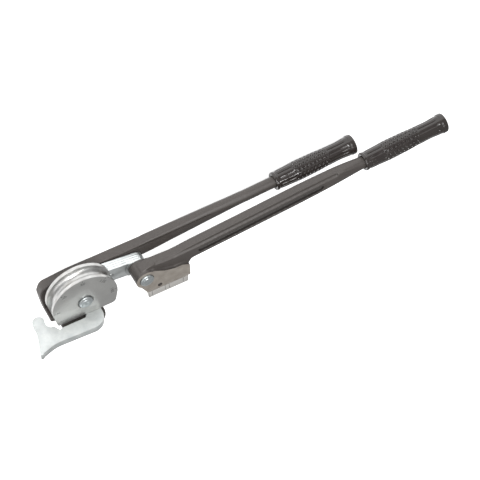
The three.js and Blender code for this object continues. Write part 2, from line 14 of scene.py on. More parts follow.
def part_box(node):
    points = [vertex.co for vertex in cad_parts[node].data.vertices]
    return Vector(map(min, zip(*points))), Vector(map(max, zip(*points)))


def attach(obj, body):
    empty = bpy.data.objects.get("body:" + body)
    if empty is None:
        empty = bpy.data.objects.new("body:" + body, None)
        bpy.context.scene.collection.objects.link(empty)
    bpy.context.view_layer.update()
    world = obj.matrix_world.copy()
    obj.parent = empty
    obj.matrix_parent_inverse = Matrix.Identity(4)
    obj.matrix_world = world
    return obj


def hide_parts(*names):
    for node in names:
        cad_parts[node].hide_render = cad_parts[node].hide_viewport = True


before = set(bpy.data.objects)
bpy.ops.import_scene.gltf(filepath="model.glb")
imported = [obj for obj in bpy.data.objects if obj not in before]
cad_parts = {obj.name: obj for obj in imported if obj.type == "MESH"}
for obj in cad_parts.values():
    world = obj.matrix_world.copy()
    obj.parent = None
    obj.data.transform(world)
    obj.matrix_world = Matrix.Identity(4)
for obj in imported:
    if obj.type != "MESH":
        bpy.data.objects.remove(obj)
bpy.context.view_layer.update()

MM = 0.001
# Clearance between neighbouring pieces.
GAP = 0.3

TUBE_GROOVE_R = 6.55
BEND_R = 38.0
RIM_R = 37.8
FORMER_DEPTH = 20.6
GROOVE_Z = -FORMER_DEPTH / 2
CHORD_Y = -22.4
PIN_R = 4.5
BORE_R = PIN_R + GAP
PIN_HEAD_R = 8.0
PIN_HEAD_RISE = 3.0
FORMER_SINK = 2.2
BOSS_SINK = 1.2
RING_R = 5.6
RING_INNER_R = 3.9
RING_RECESS = 1.9

HANDLE_PIVOT = (72.0, -8.2)
LINK_LENGTH = math.hypot(*HANDLE_PIVOT)
LINK_ANGLE = math.atan2(HANDLE_PIVOT[1], HANDLE_PIVOT[0])
LINK_FRONT_Z = -21.0
LINK_HALF_HEIGHT = 10.1
LEAF_COUNT = 4
LEAF_DEPTH = 2.75
LEAF_PITCH = 3.05
LINK_BACK_Z = LINK_FRONT_Z - LEAF_COUNT * LEAF_PITCH + GAP
LEAF_BORE_R = 6.8
BACK_LEAF_BORE_R = 7.3
BUSH_R = 6.5
RIVET_R = 2.6
RIVET_HOLE_R = 2.8
RIVET_SHARES = (0.3, 0.55)

PLATE_FRONT_Z = -34.5
PLATE_BACK_Z = -47.0
PLATE_TOP_Y = 6.9
HOOK_TOP_Y = -22.7
HOOK_BOTTOM_Y = -31.0
HOOK_PIVOT = (7.0, -8.0)
HOOK_HOLE_R = 4.3
LEDGE_TOP_Y = -32.3
LEDGE_BOTTOM_Y = -37.5

SCREW_XS = (-18, 3)
SCREW_Y = -17.6
SCREW_SEAT_R = 4.55
SCREW_SEAT_DEPTH = 5.6
SCREW_HEAD_R = 4.25
SCREW_SHANK_R = 2.5
SCREW_TOP_Z = -14
DOWEL_X = -7.5
DOWEL_R = 2.5

SHOE_FRONT_Z = 0.8
SHOE_BACK_Z = -19.8
SHOE_BOTTOM_Y = -31.5
SHOE_ALLOWANCE = 1.6
BOSS_R = 12.3
BLOCK_BOTTOM_Y = HANDLE_PIVOT[1] - (LINK_LENGTH - RIM_R - GAP)
BLOCK_X = (72.6, 122.0)
BLOCK_TICKS = (77, 93, 98, 115.5)
BLOCK_TICK_DEPTH = 0.25
BLOCK_PIN = (87.0, -26.4)
BLOCK_PIN_R = 2.4
BLOCK_PIN_HOLE_R = 2.7

# Sections of a handle's arm: x, y, z, half height, half depth, corner radius.
FORMER_ARM = (
    (84, -1.9, -40.9, 9.4, 6.1, 1.2), (90, -1.2, -40.7, 9.6, 6.2, 1.3), (104, 0.8, -40.0, 9.3, 6.25, 2),
    (120, 3.1, -39.3, 9.0, 6.3, 3), (135, 5.1, -38.6, 8.8, 6.35, 3.9), (150, 7.1, -37.9, 8.6, 6.4, 4.8),
    (165, 9.2, -37.2, 8.2, 6.5, 5.6), (180, 11.2, -36.5, 7.84, 6.6, 6.2), (194, 13.1, -35.8, 7.2, 6.65, 6.5),
    (207, 14.9, -35.2, 6.75, 6.7, 6.65), (216, 15.7, -34.8, 6.7, 6.7, 6.69),
)
FORMER_SHANK_Z = -34.8
FORMER_SHANK_R = 6.7
FORMER_SHANK_START = (212.0, 15.4)
FORMER_SHANK_ANGLE = 4.2
FORMER_GRIP_START = 38.4
FORMER_CREASE = ((34, 3.4), (100, 6.0), (150, 11.6), (172, 13.6))
CREASE_HEIGHT = 1.2
CREASE_DEPTH = 1.1

BENDING_ARM_Z = -9.0
BENDING_ARM = (
    (120, -0.9, -9, 9.7, 6.3, 1.2), (133, 0.6, -9, 9.85, 6.3, 1.2), (190, 5.9, -9, 10.0, 6.3, 1.2),
    (228, 9.7, -9, 10.1, 6.3, 1.2), (267, 13.55, -9, 10.15, 6.3, 1.2), (290, 15.7, -9, 9.8, 6.3, 1.6),
    (312, 17.9, -9, 9.3, 6.4, 2.6), (324, 19.0, -9, 8.8, 6.5, 3.5), (336, 19.9, -9, 8.1, 6.7, 4.9),
    (345, 20.4, -9, 7.5, 6.9, 6.2), (353, 20.85, -9, 7.1, 7.1, 7.09),
)
ARM_HALF_DEPTH = 6.3
ARM_FRONT_Z = BENDING_ARM_Z + ARM_HALF_DEPTH
ARM_BACK_Z = BENDING_ARM_Z - ARM_HALF_DEPTH
POCKET_DEPTH = 4.4
POCKET_HALF_WIDTH = 3.6
POCKET_LINE = ((141.5, -0.9), (190, 3.65), (228, 7.4), (267, 11.25), (294.5, 13.8))
STRIP_BOTTOM = ((84, 5.4), (108, 4.0), (133, 5.1), (190, 10.4), (267, 18.1), (316, 22.6))
BENDING_SHANK_R = 7.1
BENDING_SHANK_START = (300.0, 16.4)
BENDING_SHANK_ANGLE = 4.8
BENDING_GRIP_START = 52.5
FORMER_GRIP_LENGTH = 104.5
BENDING_GRIP_LENGTH = 110.0
GRIP_END = 8.0

VOXEL = 0.7
SMOOTH_STEPS = 5


def pivot_origin():
    """Where the tool's own origin lies in the row frame, from the main pin's box."""
    low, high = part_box("main_pivot_pin")
    centre = (low + high) / 2
    return Vector((centre.x, centre.y, high.z - PIN_HEAD_RISE * MM))


ORIGIN = pivot_origin()


def to_row(x, y, z):
    return ORIGIN + Vector((x, y, z)) * MM


# ---------------------------------------------------------------- mesh helpers


def mesh_object(name, points, faces):
    """A mesh from points in the tool's millimetres, with its faces turned outwards."""
    mesh = bpy.data.meshes.new(name)
    mesh.from_pydata([to_row(*p) for p in points], [], faces)
    bm = bmesh.new()
    bm.from_mesh(mesh)
    bmesh.ops.recalc_face_normals(bm, faces=bm.faces)
    bm.to_mesh(mesh)
    bm.free()
    obj = bpy.data.objects.new(name, mesh)
    bpy.context.scene.collection.objects.link(obj)
    return obj


def prism(name, outline, low, high, place=lambda u, v, w: (u, v, w)):
    """A closed outline drawn out from low to high; place maps (u, v, w) to tool coordinates."""
    count = len(outline)
    points = [place(u, v, low) for u, v in outline] + [place(u, v, high) for u, v in outline]
    faces = [list(range(count)), list(range(count, 2 * count))]
    faces += [[i, (i + 1) % count, (i + 1) % count + count, i + count] for i in range(count)]
    return mesh_object(name, points, faces)


def along_y(u, v, w):
    """Placement for an outline drawn in X and Z and extended along Y."""
    return (u, w, v)


def skin(name, points, size):
    """A closed surface through rings of size points each, with a flat face at either end."""
    faces = [list(range(size)), list(range(len(points) - size, len(points)))]
    for ring in range(len(points) // size - 1):
        for i in range(size):
            here = ring * size + i
            beside = ring * size + (i + 1) % size
            faces.append([here, beside, beside + size, here + size])
    return mesh_object(name, points, faces)


def revolve(name, profile, steps=96, centre=(0.0, 0.0), place=None):
    """A profile of (radius, height) turned round its axis; ends on the axis are closed with a fan."""
    place = place or (lambda x, y, z: (x + centre[0], y + centre[1], z))
    points = []
    rings = []
    for radius, height in profile:
        if radius < 1e-6:
            rings.append([len(points)])
            points.append(place(0.0, 0.0, height))
            continue
        ring = []
        for step in range(steps):
            angle = 2 * math.pi * step / steps
            ring.append(len(points))
            points.append(place(radius * math.cos(angle), radius * math.sin(angle), height))
        rings.append(ring)
    faces = []
    closed = len(rings[0]) > 1 and len(rings[-1]) > 1
    pairs = list(zip(rings, rings[1:])) + ([(rings[-1], rings[0])] if closed else [])
    for first, second in pairs:
        for step in range(steps):
            after = (step + 1) % steps
            quad = [first[step % len(first)], first[after % len(first)],
                    second[after % len(second)], second[step % len(second)]]
            face = list(dict.fromkeys(quad))
            if len(face) > 2:
                faces.append(face)
    return mesh_object(name, points, faces)


def upright(centre):
    """Placement for a revolved piece whose axis runs along Y through the point (x, z)."""
    return lambda x, y, z: (x + centre[0], z, y + centre[1])


def along_shank(start, degrees, shank_z):
    """Placement for a revolved piece whose axis runs along a handle's shank."""
    angle = math.radians(degrees)
    cos, sin = math.cos(angle), math.sin(angle)
    return lambda x, y, z: (start[0] + z * cos - y * sin, start[1] + z * sin + y * cos, shank_z + x)


def bake(obj):
    """Replaces the mesh by the result of the object's modifiers."""
    graph = bpy.context.evaluated_depsgraph_get()
    mesh = bpy.data.meshes.new_from_object(obj.evaluated_get(graph))
    obj.modifiers.clear()
    old = obj.data
    obj.data = mesh
    bpy.data.meshes.remove(old)
    return obj


def combine(obj, other, operation):
    """Applies a boolean and removes the other object; an empty result is an error."""
    modifier = obj.modifiers.new("combine", "BOOLEAN")
    modifier.operation = operation
    modifier.solver = "EXACT"
    modifier.object = other
    bake(obj)
    if not obj.data.polygons:
        raise RuntimeError(f"nothing is left of {obj.name}")
    bpy.data.objects.remove(other)
    return obj


def cut(obj, *others):
    """Takes the others away from the object, one after another."""
    for other in others:
        combine(obj, other, "DIFFERENCE")
    return obj


def join(name, parts):
    """One object from several meshes, kept as separate shells."""
    bm = bmesh.new()
    for part in parts:
        bm.from_mesh(part.data)
        bpy.data.objects.remove(part)
    mesh = bpy.data.meshes.new(name)
    bm.to_mesh(mesh)
    bm.free()
    obj = bpy.data.objects.new(name, mesh)
    bpy.context.scene.collection.objects.link(obj)
    return obj


def cast(obj, voxel=VOXEL, steps=SMOOTH_STEPS):
    """Fuses overlapping shells into one skin and rounds every edge, as a sand casting has."""
    remesh = obj.modifiers.new("fuse", "REMESH")
    remesh.mode = "VOXEL"
    remesh.voxel_size = voxel * MM
    bake(obj)
    smooth = obj.modifiers.new("round", "SMOOTH")
    smooth.factor = 0.5
    smooth.iterations = steps
    return bake(obj)


def bevelled(obj, width, segments=3, angle=30):
    """Rounds the edges that are sharper than the angle."""
    modifier = obj.modifiers.new("bevel", "BEVEL")
    modifier.width = width * MM
    modifier.segments = segments
    modifier.limit_method = "ANGLE"
    modifier.angle_limit = math.radians(angle)
    modifier.harden_normals = False
    return bake(obj)


def shaded(obj, angle=35):
    """Smooth shading, with edges above the angle kept sharp."""
    for polygon in obj.data.polygons:
        polygon.use_smooth = True
    obj.data.set_sharp_from_angle(angle=math.radians(angle))
    return obj


def filleted(corners, steps=10):
    """Corners are (x, y, fillet radius)."""
    points = []
    for i, corner in enumerate(corners):
        here = Vector(corner[:2])
        radius = corner[2] if len(corner) > 2 else 0
        if not radius:
            points.append(tuple(here))
            continue
        before = (Vector(corners[i - 1][:2]) - here).normalized()
        after = (Vector(corners[(i + 1) % len(corners)][:2]) - here).normalized()
        half = before.angle(after) / 2
        centre = here + (before + after).normalized() * (radius / math.sin(half))
        reach = radius / math.tan(half)
        first = here + before * reach - centre
        last = here + after * reach - centre
        start = math.atan2(first.y, first.x)
        turn = math.remainder(math.atan2(last.y, last.x) - start, 2 * math.pi)
        for step in range(steps + 1):
            angle = start + turn * step / steps
            points.append((centre.x + radius * math.cos(angle), centre.y + radius * math.sin(angle)))
    return points


def pocket_outline(line, half_width, steps=14):
    """A slot of even width along a line of (x, y) points, with round ends."""
    def cap(point, start):
        return [(point[0] + half_width * math.cos(start + math.pi * i / steps),
                 point[1] + half_width * math.sin(start + math.pi * i / steps)) for i in range(steps + 1)]

    below = [(x, y - half_width) for x, y in line[1:-1]]
    above = [(x, y + half_width) for x, y in reversed(line[1:-1])]
    return below + cap(line[-1], -math.pi / 2) + above + cap(line[0], math.pi / 2)


def rod(name, radius, centre, low, high, steps=48):
    return revolve(name, [(0, low), (radius, low), (radius, high), (0, high)], steps, centre)


def block(name, x, y, z):
    outline = [(x[0], y[0]), (x[1], y[0]), (x[1], y[1]), (x[0], y[1])]
    return prism(name, outline, z[0], z[1])


def chamfered_ring(name, outer, inner, low, high, chamfer=0.25, centre=(0, 0), place=None):
    profile = [(inner, low + chamfer), (inner + chamfer, low),
               (outer - chamfer, low), (outer, low + chamfer),
               (outer, high - chamfer), (outer - chamfer, high),
               (inner + chamfer, high), (inner, high - chamfer)]
    return revolve(name, profile, 72, centre, place)


# ---------------------------------------------------------------- materials


class Nodes:
    """A small wrapper that adds nodes and links to one material."""

    def __init__(self, name):
        self.material = bpy.data.materials.new(name)
        self.material.use_nodes = True
        self.tree = self.material.node_tree
        self.shader = self.tree.nodes["Principled BSDF"]
        self.coordinates = self.tree.nodes.new("ShaderNodeTexCoord").outputs["Object"]

    def add(self, kind, **settings):
        node = self.tree.nodes.new(kind)
        for key, value in settings.items():
            setattr(node, key, value)
        return node

    def link(self, source, target):
        self.tree.links.new(source, target)

    def mapped(self, scale):
        mapping = self.add("ShaderNodeMapping")
        mapping.inputs["Scale"].default_value = scale
        self.link(self.coordinates, mapping.inputs["Vector"])
        return mapping.outputs["Vector"]

    def noise(self, scale, detail=3.0, roughness=0.5, stretch=(1, 1, 1)):
        node = self.add("ShaderNodeTexNoise")
        node.inputs["Scale"].default_value = scale
        node.inputs["Detail"].default_value = detail
        node.inputs["Roughness"].default_value = roughness
        self.link(self.mapped(stretch), node.inputs["Vector"])
        return node.outputs["Fac"]

    def ramp(self, source, stops):
        node = self.add("ShaderNodeValToRGB")
        elements = node.color_ramp.elements
        while len(elements) < len(stops):
            elements.new(0.5)
        for element, (position, colour) in zip(elements, stops):
            element.position = position
            element.color = (*colour, 1) if len(colour) == 3 else colour
        self.link(source, node.inputs["Fac"])
        return node.outputs["Color"]

    def span(self, source, low, high, start=0.3, end=0.7):
        node = self.add("ShaderNodeMapRange")
        node.inputs["From Min"].default_value = start
        node.inputs["From Max"].default_value = end
        node.inputs["To Min"].default_value = low
        node.inputs["To Max"].default_value = high
        self.link(source, node.inputs["Value"])
        return node.outputs["Result"]

    def mix(self, factor, first, second, blend="MIX"):
        node = self.add("ShaderNodeMix", data_type="RGBA", blend_type=blend)
        for value, socket in ((factor, 0), (first, 6), (second, 7)):
            if isinstance(value, (int, float)):
                node.inputs[socket].default_value = value
            elif isinstance(value, tuple):
                node.inputs[socket].default_value = (*value, 1)
            else:
                self.link(value, node.inputs[socket])
        return node.outputs[2]

    def bump(self, height, distance, strength=1.0, previous=None):
        node = self.add("ShaderNodeBump")
        node.inputs["Strength"].default_value = strength
        node.inputs["Distance"].default_value = distance
        self.link(height, node.inputs["Height"])
        if previous is not None:
            self.link(previous, node.inputs["Normal"])
        self.link(node.outputs["Normal"], self.shader.inputs["Normal"])
        return node.outputs["Normal"]

    def set(self, **values):
        for key, value in values.items():
            self.shader.inputs[key.replace("_", " ")].default_value = value

    def feed(self, name, source):
        self.link(source, self.shader.inputs[name])

    def edge_wear(self, low=0.52, high=0.6):
        """A mask from Geometry's pointiness: high where the surface is convex, for rubbed edges; with low
        above high it is high in hollows instead, for painted shade.
        """
        geometry = self.add("ShaderNodeNewGeometry")
        return self.span(geometry.outputs["Pointiness"], 0.0, 1.0, low, high)


def coated_iron(name="coated_iron", low=(0.041, 0.035, 0.032), high=(0.052, 0.045, 0.041)):
    """Charcoal powder coat on a casting: orange peel, patchy sheen, rubbed edges and painted shade darkening
    the hollows.
    """
    n = Nodes(name)
    patches = n.noise(60, 4, 0.6)
    grain = n.noise(2600, 2, 0.6)
    base = n.ramp(patches, [(0.3, low), (0.7, high)])
    specks = n.ramp(grain, [(0.35, (0.024, 0.020, 0.018)), (0.65, (0.076, 0.068, 0.062))])
    speckled = n.mix(0.3, base, specks)
    worn = n.mix(n.edge_wear(0.53, 0.66), speckled, (0.095, 0.086, 0.08))
    # Painted shade: hollows and creases are darkened towards near black.
    n.feed("Base Color", n.mix(n.edge_wear(0.485, 0.42), worn, (0.02, 0.017, 0.015)))
    n.feed("Roughness", n.span(patches, 0.44, 0.58))
    n.set(Metallic=0.0, IOR=1.5)
    first = n.bump(grain, 0.00006, 0.6)
    n.bump(n.noise(420, 3, 0.5), 0.00012, 0.5, first)
    return n.material


def machined_iron():
    """Milled cast iron: brownish grey with long cutter streaks."""
    n = Nodes("machined_iron")
    streaks = n.noise(900, 3, 0.6, (0.06, 1, 1))
    blotches = n.noise(140, 4, 0.6)
    base = n.ramp(streaks, [(0.3, (0.27, 0.24, 0.21)), (0.7, (0.36, 0.33, 0.295))])
    stains = n.ramp(blotches, [(0.35, (0.24, 0.21, 0.18)), (0.65, (0.4, 0.37, 0.33))])
    n.feed("Base Color", n.mix(0.4, base, stains))
    n.feed("Roughness", n.span(blotches, 0.42, 0.58))
    n.set(Metallic=0.55)
    n.bump(streaks, 0.00003, 0.7)
    return n.material


def block_steel():
    """Ground steel, lighter than the casting beside it."""
    n = Nodes("block_steel")
    streaks = n.noise(1500, 3, 0.6, (0.05, 1, 1))
    n.feed("Base Color", n.ramp(streaks, [(0.3, (0.46, 0.445, 0.42)), (0.7, (0.6, 0.585, 0.56))]))
    n.feed("Roughness", n.span(n.noise(200, 3), 0.36, 0.5))
    n.set(Metallic=0.6)
    n.bump(streaks, 0.00002, 0.6)
    return n.material


def former_face():
    """Satin alloy face with a faint cross-grain and small handling marks."""
    n = Nodes("former_face")
    streaks = n.noise(500, 3, 0.6, (1, 0.1, 1))
    clouds = n.noise(40, 4, 0.6)
    marks = n.noise(900, 2, 0.7)
    base = n.ramp(clouds, [(0.3, (0.42, 0.42, 0.41)), (0.7, (0.52, 0.52, 0.505))])
    pitted = n.mix(n.span(marks, 0.0, 0.4, 0.66, 0.76), base, (0.25, 0.25, 0.245))
    n.feed("Base Color", pitted)
    n.feed("Roughness", n.span(streaks, 0.28, 0.4))
    n.set(Metallic=0.85)
    n.bump(streaks, 0.00001, 0.4)
    return n.material


def former_rim():
    """Bright turned alloy: fine rings round the axis, soft grey bands, and darker brown bands painted in as
    streaky reflections.
    """
    n = Nodes("former_rim")
    rings = n.noise(900, 2, 0.6, (0.02, 0.02, 1))
    clouds = n.noise(70, 3, 0.5)
    reflection_bands = n.noise(55, 3, 0.55, (1, 1, 4))
    base = n.ramp(clouds, [(0.3, (0.36, 0.36, 0.355)), (0.7, (0.54, 0.54, 0.53))])
    # Painted reflection: darker brown bands round the rim stand in for streaky reflections.
    n.feed("Base Color", n.mix(n.span(reflection_bands, 0.0, 0.55, 0.5, 0.66), base, (0.2, 0.185, 0.165)))
    n.feed("Roughness", n.span(rings, 0.28, 0.4))
    n.set(Metallic=0.95)
    n.bump(rings, 0.000012, 0.5)
    return n.material


def engraved_mark():
    n = Nodes("engraved_mark")
    n.feed("Base Color", n.ramp(n.noise(2500), [(0.3, (0.04, 0.04, 0.04)), (0.7, (0.1, 0.1, 0.098))]))
    n.set(Roughness=0.6, Metallic=0.3)
    return n.material


def zinc(name="zinc", low=(0.44, 0.465, 0.47), high=(0.59, 0.61, 0.605), rough=(0.34, 0.5), metallic=0.9):
    """Zinc plate: cool white metal with cloudy patches, a fine grain and a few duller smears."""
    n = Nodes(name)
    clouds = n.noise(110, 5, 0.62)
    grain = n.noise(2200, 2, 0.6)
    smears = n.noise(38, 3, 0.5, (1, 2.2, 1))
    base = n.ramp(clouds, [(0.32, low), (0.68, high)])
    dulled = n.mix(n.span(smears, 0.0, 0.55, 0.52, 0.66), base, (0.36, 0.375, 0.37))
    n.feed("Base Color", dulled)
    n.feed("Roughness", n.span(clouds, rough[0], rough[1]))
    n.set(Metallic=metallic)
    n.bump(grain, 0.000025, 0.5)
    return n.material


def plain_steel():
    n = Nodes("screw_steel")
    clouds = n.noise(400, 3)
    n.feed("Base Color", n.ramp(clouds, [(0.3, (0.28, 0.27, 0.26)), (0.7, (0.42, 0.41, 0.4))]))
    n.feed("Roughness", n.span(clouds, 0.3, 0.5))
    n.set(Metallic=0.9)
    n.bump(n.noise(2600), 0.00002, 0.5)
    return n.material


def bronze():
    n = Nodes("bronze")
    pores = n.noise(1900, 2, 0.7)
    n.feed("Base Color", n.ramp(pores, [(0.3, (0.36, 0.24, 0.1)), (0.6, (0.6, 0.42, 0.2))]))
    n.feed("Roughness", n.span(pores, 0.3, 0.5))
    n.set(Metallic=0.9)
    n.bump(pores, 0.00003, 0.6)
    return n.material


def grip_plastic():
    """Glossy black moulding with a little dust haze and soft flow ripples."""
    n = Nodes("grip_plastic")
    haze = n.noise(90, 4, 0.6)
    black = n.ramp(haze, [(0.3, (0.017, 0.0135, 0.0125)), (0.75, (0.028, 0.0235, 0.0215))])
    n.feed("Base Color", black)
    n.feed("Roughness", n.span(haze, 0.1, 0.17))
    n.set(IOR=1.52)
    first = n.bump(n.noise(110, 2, 0.5), 0.0002, 0.12)
    n.bump(n.noise(1500, 2, 0.5), 0.00002, 0.25, first)
    return n.material


MATERIALS = {
    "coated_iron": coated_iron(),
    # A much darker copy of the coat, painted into the pockets as shade.
    "painted_shade_coat": coated_iron("painted_shade_coat", (0.008, 0.007, 0.006), (0.013, 0.011, 0.010)),
    "machined_iron": machined_iron(),
    "block_steel": block_steel(),
    "former_face": former_face(),
    "former_rim": former_rim(),
    "engraved": engraved_mark(),
    "zinc": zinc(),
    "pin_zinc": zinc("pin_zinc", (0.42, 0.455, 0.465), (0.54, 0.575, 0.585), (0.28, 0.42)),
    "hook_zinc": zinc("hook_zinc", (0.47, 0.495, 0.495), (0.6, 0.62, 0.61), (0.48, 0.62), 0.72),
    "link_zinc": zinc("link_zinc", (0.58, 0.61, 0.615), (0.73, 0.755, 0.75), (0.3, 0.44)),
    "steel": plain_steel(),
    "bronze": bronze(),
    "grip": grip_plastic(),
}


def paint(obj, *names):
    obj.data.materials.clear()
    for name in names:
        obj.data.materials.append(MATERIALS[name])
    return obj


def paint_where(obj, name, test):
    """Gives one of the object's materials to each face whose centre and normal, in tool mm, pass the test."""
    slot_index = obj.data.materials.find(MATERIALS[name].name)
    for polygon in obj.data.polygons:
        centre = (polygon.center - ORIGIN) / MM
        if test(centre, polygon.normal):
            polygon.material_index = slot_index
    return obj


def place_piece(obj, body, nodes):
    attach(obj, body)
    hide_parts(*nodes)
    return obj


# ---------------------------------------------------------------- castings


def loft(name, sections, per_corner=9):
    """A closed bar through rounded-rectangle sections that lie across X."""
    points = []
    for x, y, z, half_height, half_depth, radius in sections:
        for i in range(4 * per_corner):
            corner, step = divmod(i, per_corner)
            angle = math.pi / 2 * (corner + step / (per_corner - 1))
            side = math.pi / 2 * (corner + 0.5)
            points.append((
                x,
                y + math.copysign(half_height - radius, math.cos(side)) + radius * math.cos(angle),
                z + math.copysign(half_depth - radius, math.sin(side)) + radius * math.sin(angle)))
    return skin(name, points, 4 * per_corner)


def band(line, lift, height):
    """A strip of even height above a line of (x, y) points."""
    lower = [(x, y + lift) for x, y in line]
    upper = [(x, y + lift + height) for x, y in reversed(line)]
    return lower + upper


def grip_shank(radius, start, degrees, z, grip_end):
    """The round shank that carries a grip and ends just short of its closed end."""
    end = grip_end - GRIP_END - 2
    return revolve("shank", [(0, -6), (radius, 0), (radius, end), (0, end)], 48,
                   place=along_shank(start, degrees, z))


def former_handle_casting():
    """The head plate with its pad and ledge, the creased arm and the shank, in one skin."""
    plate = prism("plate", filleted([
        (-36.6, LEDGE_BOTTOM_Y, 2), (20, LEDGE_BOTTOM_Y, 3), (26, -18, 10), (48, -12.8, 20),
        (89, -10.8), (89, 7.9), (-2, PLATE_TOP_Y, 30), (-34, 3.5, 9), (-39.2, -8, 12),
    ]), PLATE_BACK_Z, PLATE_FRONT_Z)
    bevelled(plate, 1.3, 3, 50)
    pad = block("pad", (-30, 14), (CHORD_Y, -13.8), (PLATE_FRONT_Z - 2, -FORMER_DEPTH - 0.3))
    ledge = prism("ledge", filleted([
        (-36.6, PLATE_BACK_Z), (21, PLATE_BACK_Z), (21, 8, 12), (-29.3, 8, 6), (-29.3, -17.4, 2),
        (-36.6, -19, 2),
    ]), LEDGE_BOTTOM_Y, LEDGE_TOP_Y, along_y)
    shank = grip_shank(FORMER_SHANK_R, FORMER_SHANK_START, FORMER_SHANK_ANGLE, FORMER_SHANK_Z,
                       FORMER_GRIP_START + FORMER_GRIP_LENGTH)
    body = cast(join("former_handle_body", [plate, pad, ledge, loft("arm", FORMER_ARM), shank]))
    crease = prism("crease", band(FORMER_CREASE, 0, CREASE_HEIGHT), -41, -28)
    floor = [(x, y, z, h + 4, d - CREASE_DEPTH, r) for x, y, z, h, d, r in FORMER_ARM]
    cut(crease, loft("crease_floor", floor))
    cut(body,
        crease,
        prism("plate_crease", band(FORMER_CREASE[:2], 0, CREASE_HEIGHT), PLATE_FRONT_Z - CREASE_DEPTH, -30),
        rod("bore", BORE_R, (0, 0), PLATE_BACK_Z - 1, PLATE_FRONT_Z + 1),
        rod("recess", RING_R + GAP, (0, 0), PLATE_BACK_Z - 1, PLATE_BACK_Z + RING_RECESS))
    for x in SCREW_XS:
        cut(body, rod("seat", SCREW_SEAT_R, (x, SCREW_Y), PLATE_BACK_Z - 1, PLATE_BACK_Z + SCREW_SEAT_DEPTH))
    paint(shaded(body, 50), "coated_iron", "machined_iron")
    paint_where(body, "machined_iron", lambda c, n: math.hypot(c.x, c.y) < 6.0 and c.z < PLATE_BACK_Z + 2.5)
    place_piece(body, "former_handle", ["former_handle_casting"])


def in_pocket(point):
    """Whether a point lies on the floor or walls of the bending handle's two pockets."""
    if not POCKET_LINE[0][0] - 3.4 < point.x < POCKET_LINE[-1][0] + 3.4:
        return False
    slope = (POCKET_LINE[-1][1] - POCKET_LINE[0][1]) / (POCKET_LINE[-1][0] - POCKET_LINE[0][0])
    middle = POCKET_LINE[0][1] + slope * (point.x - POCKET_LINE[0][0])
    depth = min(ARM_FRONT_Z - point.z, point.z - ARM_BACK_Z)
    return abs(point.y - middle) < POCKET_HALF_WIDTH + 0.3 and 0.7 < depth


def shoe_outline():
    return filleted([
        (72, 2.5), (60.4, -12), (64.2, -17, 4), (71.8, SHOE_BOTTOM_Y), (124.7, SHOE_BOTTOM_Y),
        (124.7, -13.4, 1), (116, -8.8, 3), (106, -8.6, 3), (94, -5.2, 4), (82, 1.8),
    ])


def bending_handle_casting():
    """The boss and shoe, cast too deep and then milled, and the arm with its pockets."""
    rough_low = SHOE_BACK_Z - SHOE_ALLOWANCE
    rough_high = SHOE_FRONT_Z + SHOE_ALLOWANCE
    boss = rod("boss", BOSS_R, HANDLE_PIVOT, rough_low, rough_high, 96)
    shoe = prism("shoe", shoe_outline(), rough_low, rough_high)
    head = prism("head", filleted([
        (63, -4), (68, 4.5, 3), (80, 8.2, 6), (106, 7.0, 20), (133, 9.5), (133, -8.3), (128.5, -10, 5),
        (124.7, -16, 4), (124.7, -30), (76, -28),
    ]), ARM_BACK_Z, ARM_FRONT_Z)
    arm = join("arm", [head, loft("bar", BENDING_ARM)])
    arm = cast(arm, 0.5, 0)
    pocket = pocket_outline(POCKET_LINE, POCKET_HALF_WIDTH)
    cut(arm,
        prism("strip", band(STRIP_BOTTOM, 1.4, 12), ARM_FRONT_Z - 2.4, ARM_FRONT_Z + 3),
        prism("slope", band(STRIP_BOTTOM, 0.5, 12), ARM_FRONT_Z - 1.2, ARM_FRONT_Z + 3),
        prism("pocket_front", pocket, ARM_FRONT_Z - POCKET_DEPTH, ARM_FRONT_Z + 3),
        prism("pocket_back", pocket, ARM_BACK_Z - 3, ARM_BACK_Z + POCKET_DEPTH))
    shank = grip_shank(BENDING_SHANK_R, BENDING_SHANK_START, BENDING_SHANK_ANGLE, BENDING_ARM_Z,
                       BENDING_GRIP_START + BENDING_GRIP_LENGTH)
    body = cast(join("bending_handle_body", [boss, shoe, arm, shank]))
    cut(body,
        block("mill_front", (50, 140), (-60, 20), (SHOE_FRONT_Z, SHOE_FRONT_Z + 5)),
        block("mill_back", (50, 140), (-60, 20), (SHOE_BACK_Z - 5, SHOE_BACK_Z)),
        rod("bore", BORE_R, HANDLE_PIVOT, SHOE_BACK_Z - 1, SHOE_FRONT_Z + 1),
        rod("pin_seat", PIN_HEAD_R + 2 * GAP, HANDLE_PIVOT, SHOE_FRONT_Z - BOSS_SINK - GAP, SHOE_FRONT_Z + 1),
        rod("cross_hole", BLOCK_PIN_HOLE_R, BLOCK_PIN, SHOE_BACK_Z - 1, SHOE_FRONT_Z + 1))
    paint(shaded(body, 40), "coated_iron", "machined_iron", "painted_shade_coat")
    paint_where(body, "machined_iron", lambda c, n: abs(n.z) > 0.9
                and (c.z > SHOE_FRONT_Z - 2 or c.z < SHOE_BACK_Z + 0.05))
    # Painted shade: the pockets' floors and walls get the much darker copy of the coat.
    paint_where(body, "painted_shade_coat", lambda c, n: in_pocket(c))
    place_piece(body, "bending_handle", ["bending_handle_casting"])


# ---------------------------------------------------------------- former, block, hook


DIGITS = {
    "0": ["111", "101", "101", "101", "111"],
    "1": ["010", "110", "010", "010", "111"],
    "3": ["111", "001", "111", "001", "111"],
    "4": ["101", "101", "111", "001", "001"],
    "5": ["111", "100", "111", "001", "111"],
    "8": ["111", "101", "111", "101", "111"],
    "9": ["111", "101", "111", "001", "111"],
}
DOT_PITCH = 0.72
DOT_R = 0.33
DOT_DEPTH = 0.25
TICK_INSET = 1.1
DIGIT_INSET = 4.8


